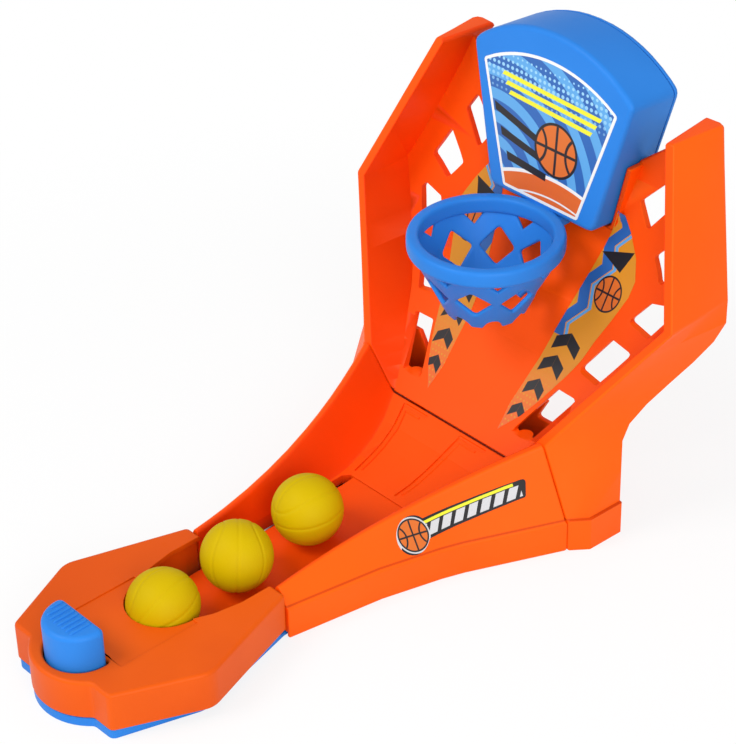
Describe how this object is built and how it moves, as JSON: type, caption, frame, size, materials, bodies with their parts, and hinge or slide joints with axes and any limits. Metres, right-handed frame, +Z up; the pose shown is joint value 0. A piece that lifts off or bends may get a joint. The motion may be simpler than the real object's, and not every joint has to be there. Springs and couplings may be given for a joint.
{
  "type": "tabletop basketball game",
  "caption": "Finger-launched tabletop basketball game: a push button flicks balls from a lane up a flared net panel to a hoop under a backboard.",
  "frame": {"origin": "middle of the footprint's box, on the surface that the game stands on", "axes": "+Z up; +Y from the button to the backboard, along the length; +X to the player's right"},
  "size_m": [0.167, 0.2748, 0.1748],
  "materials": {
    "deck_orange": "semi-gloss moulded plastic",
    "orange": "semi-gloss moulded plastic",
    "blue": "semi-gloss moulded plastic",
    "ball_yellow": "fine matt",
    "steel": "zinc plated"
  },
  "bodies": {
    "frame": {"launcher_housing": "deck_orange", "base_plate": "blue", "lever_pin": "steel", "return_spring": "steel", "tongue_pin": "steel", "chute": "orange", "tower": "orange", "backboard_front": "blue", "backboard_cover": "blue", "hoop": "blue", "base_screw_1": "steel", "base_screw_2": "steel", "base_screw_3": "steel", "base_screw_4": "steel", "chute_screw_1": "steel", "chute_screw_2": "steel", "tower_screw_1": "steel", "tower_screw_2": "steel", "cover_screw_1": "steel", "cover_screw_2": "steel", "cover_screw_3": "steel", "cover_screw_4": "steel"},
    "button": {"launch_button": "blue"},
    "lever": {"launch_lever": "blue"},
    "tongue": {"launch_tongue": "orange"},
    "ball_1": {"ball_1": "ball_yellow"},
    "ball_2": {"ball_2": "ball_yellow"},
    "ball_3": {"ball_3": "ball_yellow"}
  },
  "joints": [
    {"name": "button_press", "type": "slide", "parent": "frame", "child": "button", "axis": [0, 0, -1], "range_m": [0, 0.005], "stiffness_N_per_m": 150, "springref_m": -0.006, "deforming": ["return_spring"]},
    {"name": "lever_rock", "type": "hinge", "parent": "frame", "child": "lever", "pos_m": [0, -0.11237, 0.0088], "axis": [1, 0, 0], "range_deg": [0, 24.5]},
    {"name": "tongue_flick", "type": "hinge", "parent": "frame", "child": "tongue", "pos_m": [0, 0.02363, 0.0086], "axis": [-1, 0, 0], "range_deg": [0, 2.5]},
    {"name": "ball_1_lift", "type": "slide", "parent": "tongue", "child": "ball_1", "axis": [0, 0, 1], "range_m": [0, 0.03]},
    {"name": "ball_2_lift", "type": "slide", "parent": "tongue", "child": "ball_2", "axis": [0, 0, 1], "range_m": [0, 0.03]},
    {"name": "ball_3_lift", "type": "slide", "parent": "tongue", "child": "ball_3", "axis": [0, 0, 1], "range_m": [0, 0.03]}
  ],
  "couplings": [
    {"joint": "lever_rock", "follows": "button_press", "rad_per_m": 85.52},
    {"joint": "tongue_flick", "follows": "button_press", "rad_per_m": 8.727}
  ]
}
